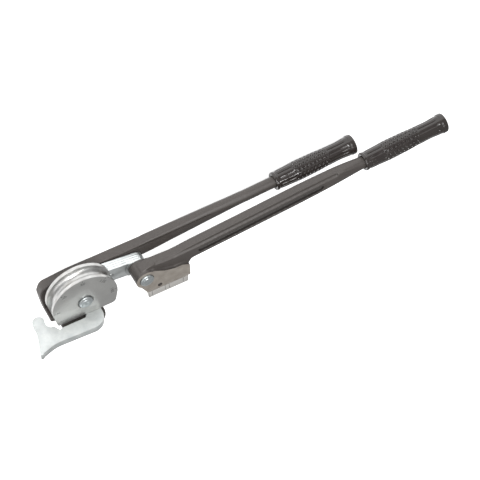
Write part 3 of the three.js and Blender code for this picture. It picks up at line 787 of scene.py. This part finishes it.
def scale_dots():
    """Centres of the dots that make up the degree marks: a tick at the rim and its number inside it."""
    dots = []
    for value in (0, 45, 90, 135, 180):
        angle = math.radians(180 - value)
        outward = Vector((math.cos(angle), math.sin(angle)))
        right = Vector((outward.y, -outward.x))
        text = str(value)
        width = len(text) * 4 - 1
        for place, digit in enumerate(text):
            for row, bits in enumerate(DIGITS[digit]):
                for column, bit in enumerate(bits):
                    if bit == "1":
                        across = (place * 4 + column - (width - 1) / 2) * DOT_PITCH
                        dots.append(outward * (RIM_R - DIGIT_INSET - row * DOT_PITCH) + right * across)
        for step in range(4):
            dots.append(outward * (RIM_R - TICK_INSET - step * DOT_PITCH))
    return dots


def former():
    """A half-moon with a tube groove round its rim, a seat for the pin's head and dotted marks."""
    angles = [math.radians(-8 + 196 * i / 160) for i in range(161)]
    outline = [(RIM_R * math.cos(a), RIM_R * math.sin(a), 0) for a in angles]
    outline += [(-34.4, CHORD_Y, 3), (33.6, CHORD_Y, 6)]
    body = prism("former_body", filleted(outline), -FORMER_DEPTH, 0)
    arc = [math.radians(-84 + 168 * i / 28) for i in range(29)]
    groove = [(BEND_R + 12, -TUBE_GROOVE_R), (BEND_R, -TUBE_GROOVE_R)]
    groove += [(BEND_R - TUBE_GROOVE_R * math.cos(a), TUBE_GROOVE_R * math.sin(a)) for a in arc]
    groove += [(BEND_R, TUBE_GROOVE_R), (BEND_R + 12, TUBE_GROOVE_R)]
    ring = revolve("ring", [(r, z + GROOVE_Z) for r, z in groove], 240)
    cut(body,
        ring,
        rod("bore", BORE_R, (0, 0), -30, 5),
        rod("seat", PIN_HEAD_R + 1.3, (0, 0), -FORMER_SINK - GAP, 5, 96))
    bevelled(body, 0.45, 3, 40)
    dents = [rod("dent", DOT_R, tuple(dot), -DOT_DEPTH, 0.3, 8) for dot in scale_dots()]
    cut(body, join("dents", dents))
    paint(shaded(body, 30), "former_face", "former_rim", "engraved")
    paint_where(body, "former_rim", lambda c, n: math.hypot(c.x, c.y) > RIM_R - 8 and abs(n.z) < 0.98)
    paint_where(body, "engraved", lambda c, n: -0.4 < c.z < -0.02 and c.y > CHORD_Y + 1
                and PIN_HEAD_R + 2 < math.hypot(c.x, c.y) < RIM_R - 0.6)
    place_piece(body, "former_handle", ["former"])


def slide_block():
    """A bar with half of the tube's groove in its lower face and rule lines in its front."""
    front = SHOE_FRONT_Z - 0.3
    bar = block("slide_block_body", BLOCK_X, (BLOCK_BOTTOM_Y, SHOE_BOTTOM_Y - GAP), (SHOE_BACK_Z, front))
    groove = [(0, 60), (TUBE_GROOVE_R, 60), (TUBE_GROOVE_R, 130), (0, 130)]
    cut(bar, revolve("groove", groove, 72, place=along_shank((0, BLOCK_BOTTOM_Y), 0, GROOVE_Z)))
    bevelled(bar, 0.35, 2, 40)
    ticks = [block("tick", (x - 0.2, x + 0.2), (BLOCK_BOTTOM_Y + 2, SHOE_BOTTOM_Y + 1),
                   (front - BLOCK_TICK_DEPTH, SHOE_FRONT_Z + 1)) for x in BLOCK_TICKS]
    cut(bar, join("ticks", ticks))
    paint(shaded(bar, 30), "block_steel", "engraved")
    paint_where(bar, "engraved", lambda c, n: front - 0.26 < c.z < front - 0.04 and abs(n.y) < 0.5
                and c.y > BLOCK_BOTTOM_Y + 1.9)
    place_piece(bar, "bending_handle", ["slide_block"])


def hook():
    """A flat plate with an eye for its screw, a bar, a notch for the tube and a pointed tail."""
    outline = filleted([
        (15.7, -16.8, 8.5), (15.7, 20.9, 16.2), (-46, 18.5, 40), (-62, 23.6, 3), (-62.5, 24.9, 0.5),
        (-66.3, 24.9, 0.8), (-60.6, 6, 30), (-57.4, -8, 20), (-58.2, -22.4, 6.6), (-43.3, -22.2, 6.2),
        (-45.6, -11, 3), (-45.5, -3.2, 6.5), (-38.8, -2.6, 3), (-34.6, 4.9, 1.5), (-31.6, 3.5, 1.5),
        (-1.7, 3.5, 4), (-1.7, -16.8, 8.5),
    ], 14)
    plate = prism("hook_plate", outline, HOOK_BOTTOM_Y, HOOK_TOP_Y, along_y)
    hole = [(0, -40), (HOOK_HOLE_R, -40), (HOOK_HOLE_R, -10), (0, -10)]
    cut(plate, revolve("hole", hole, 48, place=upright(HOOK_PIVOT)))
    bevelled(plate, 0.4, 3, 40)
    paint(shaded(plate, 30), "hook_zinc")
    place_piece(plate, "hook", ["hook"])


# ---------------------------------------------------------------- link and small parts


def rotated(x, y):
    """A point given along and across the link, in tool coordinates."""
    cos, sin = math.cos(LINK_ANGLE), math.sin(LINK_ANGLE)
    return (x * cos - y * sin, x * sin + y * cos)


def stadium(length, end_radius, half_height, steps=28):
    """A slot-shaped outline along the link, with its round ends at the two pins."""
    points = []
    for centre, start in ((length, -math.pi / 2), (0, math.pi / 2)):
        for i in range(steps + 1):
            angle = start + math.pi * i / steps
            points.append(rotated(centre + end_radius * math.cos(angle), half_height * math.sin(angle)))
    return points


def rivet_centre(share):
    """The point at this share of the way from the main pin to the handle's pin."""
    return tuple(v * share for v in HANDLE_PIVOT)


def link():
    """Four leaves on two rivets, with a bush at each end."""
    outline = stadium(LINK_LENGTH, LINK_HALF_HEIGHT, LINK_HALF_HEIGHT)
    for index in range(LEAF_COUNT):
        high = LINK_FRONT_Z - index * LEAF_PITCH
        leaf = prism(f"leaf_{index + 1}", outline, high - LEAF_DEPTH, high)
        far_hole = BACK_LEAF_BORE_R if index == LEAF_COUNT - 1 else LEAF_BORE_R
        cut(leaf,
            rod("hole", LEAF_BORE_R, (0, 0), -40, 0),
            rod("hole", far_hole, HANDLE_PIVOT, -40, 0),
            *[rod("hole", RIVET_HOLE_R, rivet_centre(share), -40, 0) for share in RIVET_SHARES])
        bevelled(leaf, 0.4, 3, 40)
        paint(shaded(leaf, 30), "link_zinc")
        place_piece(leaf, "link", [f"link_leaf_{index + 1}"])
    for index, share in enumerate(RIVET_SHARES):
        profile = [(0, LINK_BACK_Z), (2.2, LINK_BACK_Z), (RIVET_R, LINK_BACK_Z + 0.5),
                   (RIVET_R, LINK_FRONT_Z - 0.5), (2.2, LINK_FRONT_Z - 0.05), (0, LINK_FRONT_Z + 0.05)]
        rivet = revolve(f"rivet_{index + 1}", profile, 40, rivet_centre(share))
        paint(shaded(rivet, 30), "zinc")
        place_piece(rivet, "link", [f"link_rivet_{index + 1}"])
    for name, node, centre, low in (
            ("main_bush", "link_bush_main", (0, 0), LINK_BACK_Z),
            ("handle_bush", "link_bush_handle", HANDLE_PIVOT, LINK_BACK_Z + LEAF_PITCH)):
        bush = chamfered_ring(name, BUSH_R, BORE_R, low, LINK_FRONT_Z, 0.4, centre)
        paint(shaded(bush, 30), "bronze")
        place_piece(bush, "link", [node])


def pin(name, node, body, centre, face_z, sink, tail):
    """A pivot pin whose head has a rolled edge and a raised disc in its middle."""
    top = face_z + PIN_HEAD_RISE
    seat = face_z - sink
    profile = [*tail, (PIN_R, seat), (7.7, seat), (PIN_HEAD_R, seat + 0.3), (PIN_HEAD_R, top - 1.9),
               (7.9, top - 1.5), (7.6, top - 1.18), (7.1, top - 0.98), (5.5, top - 0.85), (5.2, top - 0.75),
               (5.0, top - 0.45), (4.85, top - 0.15), (4.5, top),
               (1.6, top - 0.02), (1.1, top - 0.2), (0, top - 0.3)]
    obj = revolve(name, profile, 96, centre)
    paint(shaded(obj, 40), "pin_zinc")
    place_piece(obj, body, [node])


def pins():
    back = PLATE_BACK_Z
    stepped_tail = [(0, back + 0.2), (3.3, back + 0.2), (3.6, back + 0.5), (3.6, back + RING_RECESS),
                    (PIN_R, back + RING_RECESS)]
    pin("main_pin", "main_pivot_pin", "former_handle", (0, 0), 0, FORMER_SINK, stepped_tail)
    flange = LINK_BACK_Z + LEAF_DEPTH
    peened_tail = [(0, LINK_BACK_Z + 0.2), (5.6, LINK_BACK_Z + 0.2), (7, LINK_BACK_Z + 1.2), (7, flange),
                   (PIN_R, flange)]
    pin("handle_pin", "handle_pivot_pin", "bending_handle", HANDLE_PIVOT,
        SHOE_FRONT_Z, BOSS_SINK, peened_tail)


def cap_screw(index, x):
    """A socket screw seen from the plate's back."""
    low = PLATE_BACK_Z + 0.3
    seat = PLATE_BACK_Z + SCREW_SEAT_DEPTH - GAP
    profile = [(0, low), (3.9, low), (SCREW_HEAD_R, low + 0.35), (SCREW_HEAD_R, seat), (SCREW_SHANK_R, seat),
               (SCREW_SHANK_R, SCREW_TOP_Z - 0.5), (2.0, SCREW_TOP_Z), (0, SCREW_TOP_Z)]
    screw = revolve(f"cap_screw_{index}", profile, 48, (x, SCREW_Y))
    cut(screw, rod("socket", 2.3, (x, SCREW_Y), low - 1, low + 2.6, 6))
    paint(shaded(screw, 30), "steel")
    place_piece(screw, "former_handle", [f"former_screw_{index}"])


def retaining_ring():
    """An open ring with two plier holes."""
    low, high = PLATE_BACK_Z + 0.4, PLATE_BACK_Z + 1.6
    ring = chamfered_ring("circlip", RING_R, RING_INNER_R, low, high, 0.15)
    cut(ring,
        block("gap", (-0.8, 0.8), (-9, -2), (low - 1, high + 1)),
        *[rod("hole", 0.5, (side * 2.0, -4.4), low - 1, high + 1, 16) for side in (-1, 1)])
    paint(shaded(ring, 30), "steel")
    place_piece(ring, "former_handle", ["main_retaining_ring"])


def washers():
    main = chamfered_ring("main_washer", 10, BORE_R, PLATE_FRONT_Z + GAP, LINK_BACK_Z - GAP)
    paint(shaded(main, 30), "bronze")
    place_piece(main, "former_handle", ["main_thrust_washer"])
    high = SHOE_BACK_Z - GAP
    low = LINK_FRONT_Z + GAP
    shim_r = 15.5
    shim = chamfered_ring("handle_washer", shim_r, BORE_R, low, high, 0.12, HANDLE_PIVOT)
    combine(shim, prism("trim", stadium(LINK_LENGTH, shim_r, LINK_HALF_HEIGHT), -30, 0), "INTERSECT")
    paint(shaded(shim, 30), "zinc")
    place_piece(shim, "bending_handle", ["handle_thrust_washer"])


def hook_fixings():
    """The hook's screw, from under the ledge, and the washer it clamps."""
    head_top = LEDGE_BOTTOM_Y - GAP
    tip = CHORD_Y + 8.4
    place = upright(HOOK_PIVOT)
    profile = [(0, head_top - 3.6), (5.2, head_top - 3.6), (6.6, head_top - 3.0), (7, head_top - 2.4),
               (7, head_top - 0.3), (6.7, head_top), (4, head_top), (4, CHORD_Y + 7.8), (3.4, tip), (0, tip)]
    screw = revolve("hook_screw", profile, 64, place=place)
    socket = [(0, head_top - 5), (2.9, head_top - 5), (2.9, head_top - 1.2), (0, head_top - 1.2)]
    cut(screw, revolve("socket", socket, 6, place=place))
    paint(shaded(screw, 30), "pin_zinc")
    place_piece(screw, "former_handle", ["hook_pivot_screw"])
    washer_top = HOOK_BOTTOM_Y - GAP
    ring = chamfered_ring("hook_washer", 8, HOOK_HOLE_R, washer_top - 0.7, washer_top, 0.12, place=place)
    paint(shaded(ring, 30), "steel")
    place_piece(ring, "former_handle", ["hook_friction_washer"])


def chamfered_rod(name, node, body, radius, centre, low, high):
    chamfer = 0.4
    profile = [(0, low), (radius - chamfer, low), (radius, low + chamfer),
               (radius, high - chamfer), (radius - chamfer, high), (0, high)]
    obj = revolve(name, profile, 40, centre)
    paint(shaded(obj, 30), "steel")
    place_piece(obj, body, [node])


# ---------------------------------------------------------------- grips


FLUTES = 10
DIMPLE_ROWS = 14
DIMPLE_PITCH = 5.3
DIMPLES_FROM = 28.0
DIMPLES_TO = 72.0
DIMPLE_DEPTH = 1.35
FLUTE_DEPTH = 1.0
COLLAR_RISE = 0.6
FLANGE_R = 11.9
GRIP_AROUND = 224
GRIP_RINGS = 309
GRIP_RING_PITCH = 0.35
# Distance from the grip's mouth and radius.
GRIP_PROFILE = (
    (0, 10.3), (15, 10.9), (34, 11.6), (53, 11.3), (73, 10.5), (88, 10.3), (103, 11.1), (110, 11.3),
)
GRIP_CAP = (
    (108.4, 11.9), (109.2, 11.75), (109.8, 11.3), (110, 10.7), (110, 9.6), (109.2, 8.9), (109.5, 0.4),
)


def smooth_step(value, low, high):
    share = min(max((value - low) / (high - low), 0.0), 1.0)
    return share * share * (3 - 2 * share)


def grip_radius(s):
    """The grip's outer radius at distance s from its mouth, before flutes and dimples."""
    radius = GRIP_PROFILE[0][1]
    for (low, first), (high, second) in zip(GRIP_PROFILE, GRIP_PROFILE[1:]):
        if s >= low:
            radius = first + (second - first) * smooth_step(s, low, high)
    collar = COLLAR_RISE * (1 - smooth_step(s, 3.1, 3.9))
    flange = (FLANGE_R - radius) * smooth_step(s, 103.4, 104.2)
    return radius + collar + flange


def grip_surface(s, angle):
    """Outer radius with its flutes and, in the middle field, staggered oval dimples."""
    radius = grip_radius(s)
    plain = smooth_step(s, 5, 7) * (1 - smooth_step(s, 97, 102))
    field = smooth_step(s, DIMPLES_FROM - 3, DIMPLES_FROM) * (1 - smooth_step(s, DIMPLES_TO, DIMPLES_TO + 3))
    flute = abs(math.cos(FLUTES * angle / 2)) ** 0.8
    radius -= FLUTE_DEPTH * plain * (1 - field) * (1 - flute)
    if field > 0:
        row = round(angle / (2 * math.pi) * DIMPLE_ROWS)
        around = (angle - row * 2 * math.pi / DIMPLE_ROWS) * radius
        shift = (row % 2) * DIMPLE_PITCH / 2
        along = (s - DIMPLES_FROM - shift + DIMPLE_PITCH / 2) % DIMPLE_PITCH - DIMPLE_PITCH / 2
        distance = math.hypot(along / 2.0, around / 1.75)
        radius -= DIMPLE_DEPTH * field * (1 - smooth_step(distance, 0.6, 1.0))
    return radius


def grip_rings(bore):
    """(distance, radius as a function of angle) of every ring, from the bore's end to the closed end."""
    depth = BENDING_GRIP_LENGTH - GRIP_END
    inside = ((depth, 0.4), (depth, bore), (0.7, bore), (0.0, bore + 0.6))
    rings = [(s, lambda a, r=radius: r) for s, radius in inside]
    for i in range(GRIP_RINGS):
        s = GRIP_RING_PITCH * i
        lip = 0.6 * (1 - smooth_step(s, 0, 0.9))
        rings.append((s, lambda a, s=s, lip=lip: grip_surface(s, a) - lip))
    rings += [(s, lambda a, r=radius: r) for s, radius in GRIP_CAP]
    return rings


def grip(name, node, body, start, degrees, shank_z, mouth, length, bore):
    """A sleeve on a shank; mouth is the distance of its open end from the shank's start."""
    scale = length / BENDING_GRIP_LENGTH
    place = along_shank(start, degrees, shank_z)
    points = []
    for s, radius_at in grip_rings(bore):
        for i in range(GRIP_AROUND):
            angle = 2 * math.pi * i / GRIP_AROUND
            radius = radius_at(angle)
            points.append(place(radius * math.cos(angle), radius * math.sin(angle), mouth + s * scale))
    obj = skin(name, points, GRIP_AROUND)
    paint(shaded(obj, 50), "grip")
    place_piece(obj, body, [node])


# ---------------------------------------------------------------- stage


LENS = 97.5
SENSOR_WIDTH = 36
CAMERA_AT = (-236.0, 1139.7, 776.7)
CAMERA_RIGHT = (0.876, -0.003, 0.483)
CAMERA_UP = (0.384, 0.610, -0.693)
CAMERA_BACK = (-0.292, 0.793, 0.535)

FLOOR_HALF_WIDTH = 12.0
WORLD_STRENGTH = 0.42
LIGHT_TARGET = (0, 0, 0.03)
# Name, position in metres, side of the square and power in watts.
LIGHTS = (
    ("key", (-0.35, 1.3, 1.25), 0.8, 32),
    ("fill", (-1.2, 0.2, 1.3), 1.0, 7),
    ("strip", (0.3, 0.5, 1.5), 0.25, 3.5),
)


def add_camera():
    scene = bpy.context.scene
    data = bpy.data.cameras.new("camera")
    data.lens = LENS
    data.sensor_width = SENSOR_WIDTH
    camera = bpy.data.objects.new("camera", data)
    scene.collection.objects.link(camera)
    axes = Matrix([CAMERA_RIGHT, CAMERA_UP, CAMERA_BACK]).transposed()
    turn = axes.to_quaternion().to_matrix().to_4x4()
    camera.matrix_world = Matrix.Translation(to_row(*CAMERA_AT)) @ turn
    scene.camera = camera


def add_floor():
    """A white floor that glows a little, so that it fades into the background."""
    size = FLOOR_HALF_WIDTH
    corners = [(-size, -size, 0), (size, -size, 0), (size, size, 0), (-size, size, 0)]
    mesh = bpy.data.meshes.new("floor")
    mesh.from_pydata(corners, [], [(0, 1, 2, 3)])
    floor = bpy.data.objects.new("floor", mesh)
    bpy.context.scene.collection.objects.link(floor)
    material = bpy.data.materials.new("floor")
    material.use_nodes = True
    shader = material.node_tree.nodes["Principled BSDF"]
    shader.inputs["Base Color"].default_value = (0.92, 0.92, 0.92, 1)
    shader.inputs["Roughness"].default_value = 0.9
    shader.inputs["Emission Color"].default_value = (1, 1, 1, 1)
    shader.inputs["Emission Strength"].default_value = 0.6
    mesh.materials.append(material)


def add_world():
    world = bpy.data.worlds.new("studio")
    world.use_nodes = True
    background = world.node_tree.nodes["Background"]
    background.inputs["Color"].default_value = (1.0, 1.0, 1.0, 1)
    background.inputs["Strength"].default_value = WORLD_STRENGTH
    bpy.context.scene.world = world


def add_area_light(name, position, size, power):
    data = bpy.data.lights.new(name, "AREA")
    data.energy = power
    data.size = size
    light = bpy.data.objects.new(name, data)
    light.location = position
    light.rotation_mode = "QUATERNION"
    light.rotation_quaternion = (Vector(LIGHT_TARGET) - Vector(position)).to_track_quat("-Z", "Y")
    bpy.context.scene.collection.objects.link(light)


def stage():
    add_camera()
    add_floor()
    add_world()
    bpy.context.scene.view_settings.view_transform = "Standard"
    for name, position, size, power in LIGHTS:
        add_area_light(name, position, size, power)


# ---------------------------------------------------------------- build


former_handle_casting()
bending_handle_casting()
former()
slide_block()
hook()
link()
pins()
for number, x in enumerate(SCREW_XS, 1):
    cap_screw(number, x)
retaining_ring()
washers()
hook_fixings()
chamfered_rod("dowel", "former_dowel", "former_handle", DOWEL_R, (DOWEL_X, SCREW_Y),
              PLATE_FRONT_Z - 5.7, SCREW_TOP_Z)
chamfered_rod("cross_pin", "slide_block_pin", "bending_handle", BLOCK_PIN_R, BLOCK_PIN,
              SHOE_BACK_Z + 0.5, SHOE_FRONT_Z - 2.5)
grip("former_grip", "former_handle_grip", "former_handle",
     FORMER_SHANK_START, FORMER_SHANK_ANGLE, FORMER_SHANK_Z,
     FORMER_GRIP_START, FORMER_GRIP_LENGTH, FORMER_SHANK_R + GAP)
grip("bending_grip", "bending_handle_grip", "bending_handle",
     BENDING_SHANK_START, BENDING_SHANK_ANGLE, BENDING_ARM_Z,
     BENDING_GRIP_START, BENDING_GRIP_LENGTH, BENDING_SHANK_R + GAP)
stage()
